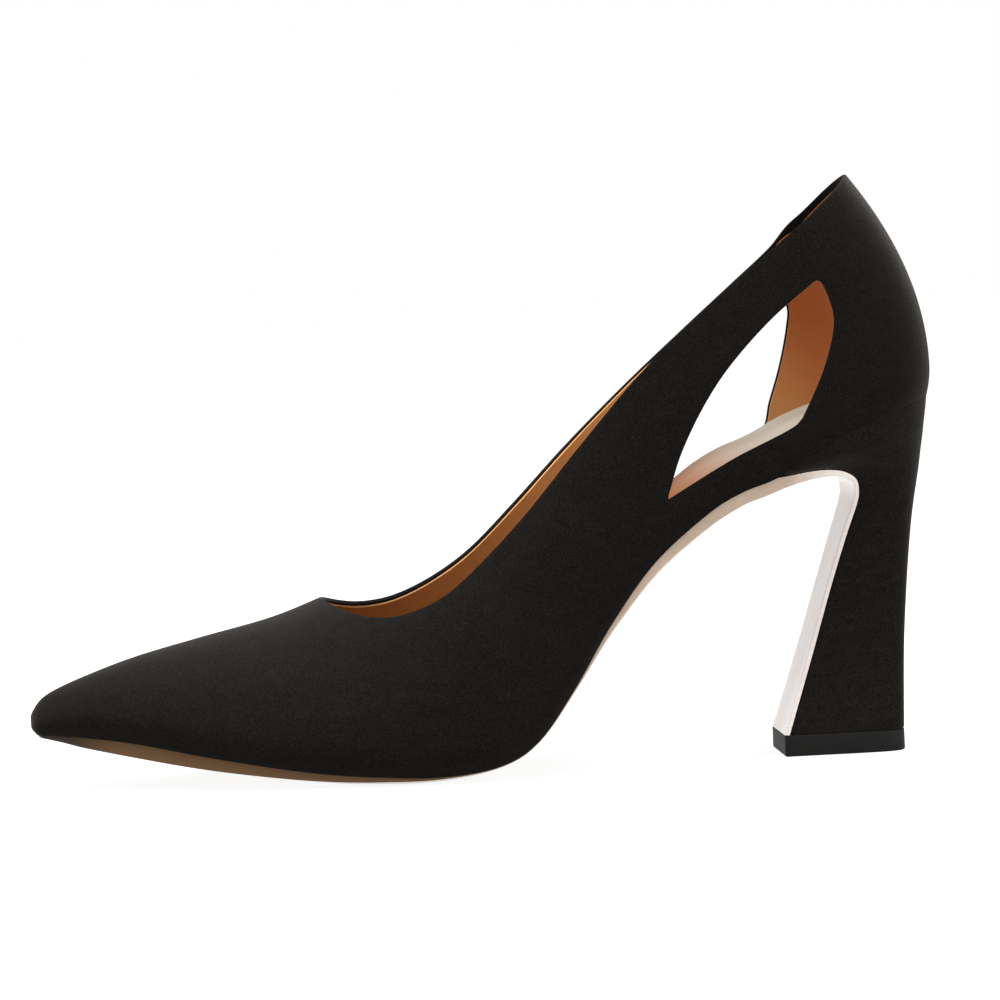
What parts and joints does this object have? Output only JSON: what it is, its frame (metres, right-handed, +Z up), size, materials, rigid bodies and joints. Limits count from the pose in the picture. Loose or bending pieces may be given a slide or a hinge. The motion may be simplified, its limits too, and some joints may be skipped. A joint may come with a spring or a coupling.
{
  "type": "high heel shoe",
  "caption": "Pointed-toe high heel for the left foot, with a cut-out in each quarter, a thin cambered sole that runs down the front of the heel, and a heel flared at its foot.",
  "frame": {"origin": "on the floor under the middle of the shoe's bounding box", "axes": "-X points along the foot to the toe and +X to the heel, -Y is the outer side of the left foot and +Y its inner side, +Z is up"},
  "size_m": [0.2339, 0.0766, 0.1474],
  "materials": {
    "upper_suede": "black suede with a fine nap, lined with smooth tan leather",
    "sock_leather": "smooth tan leather, satin",
    "sole_leather": "smooth beige sole leather, brown along its edge",
    "heel_suede": "black suede cover with a fine nap",
    "top_piece_rubber": "matte black rubber"
  },
  "bodies": {
    "root": {"upper": "upper_suede", "insole": "sock_leather", "outsole": "sole_leather", "heel": "heel_suede", "heel_top_piece": "top_piece_rubber"}
  },
  "joints": []
}
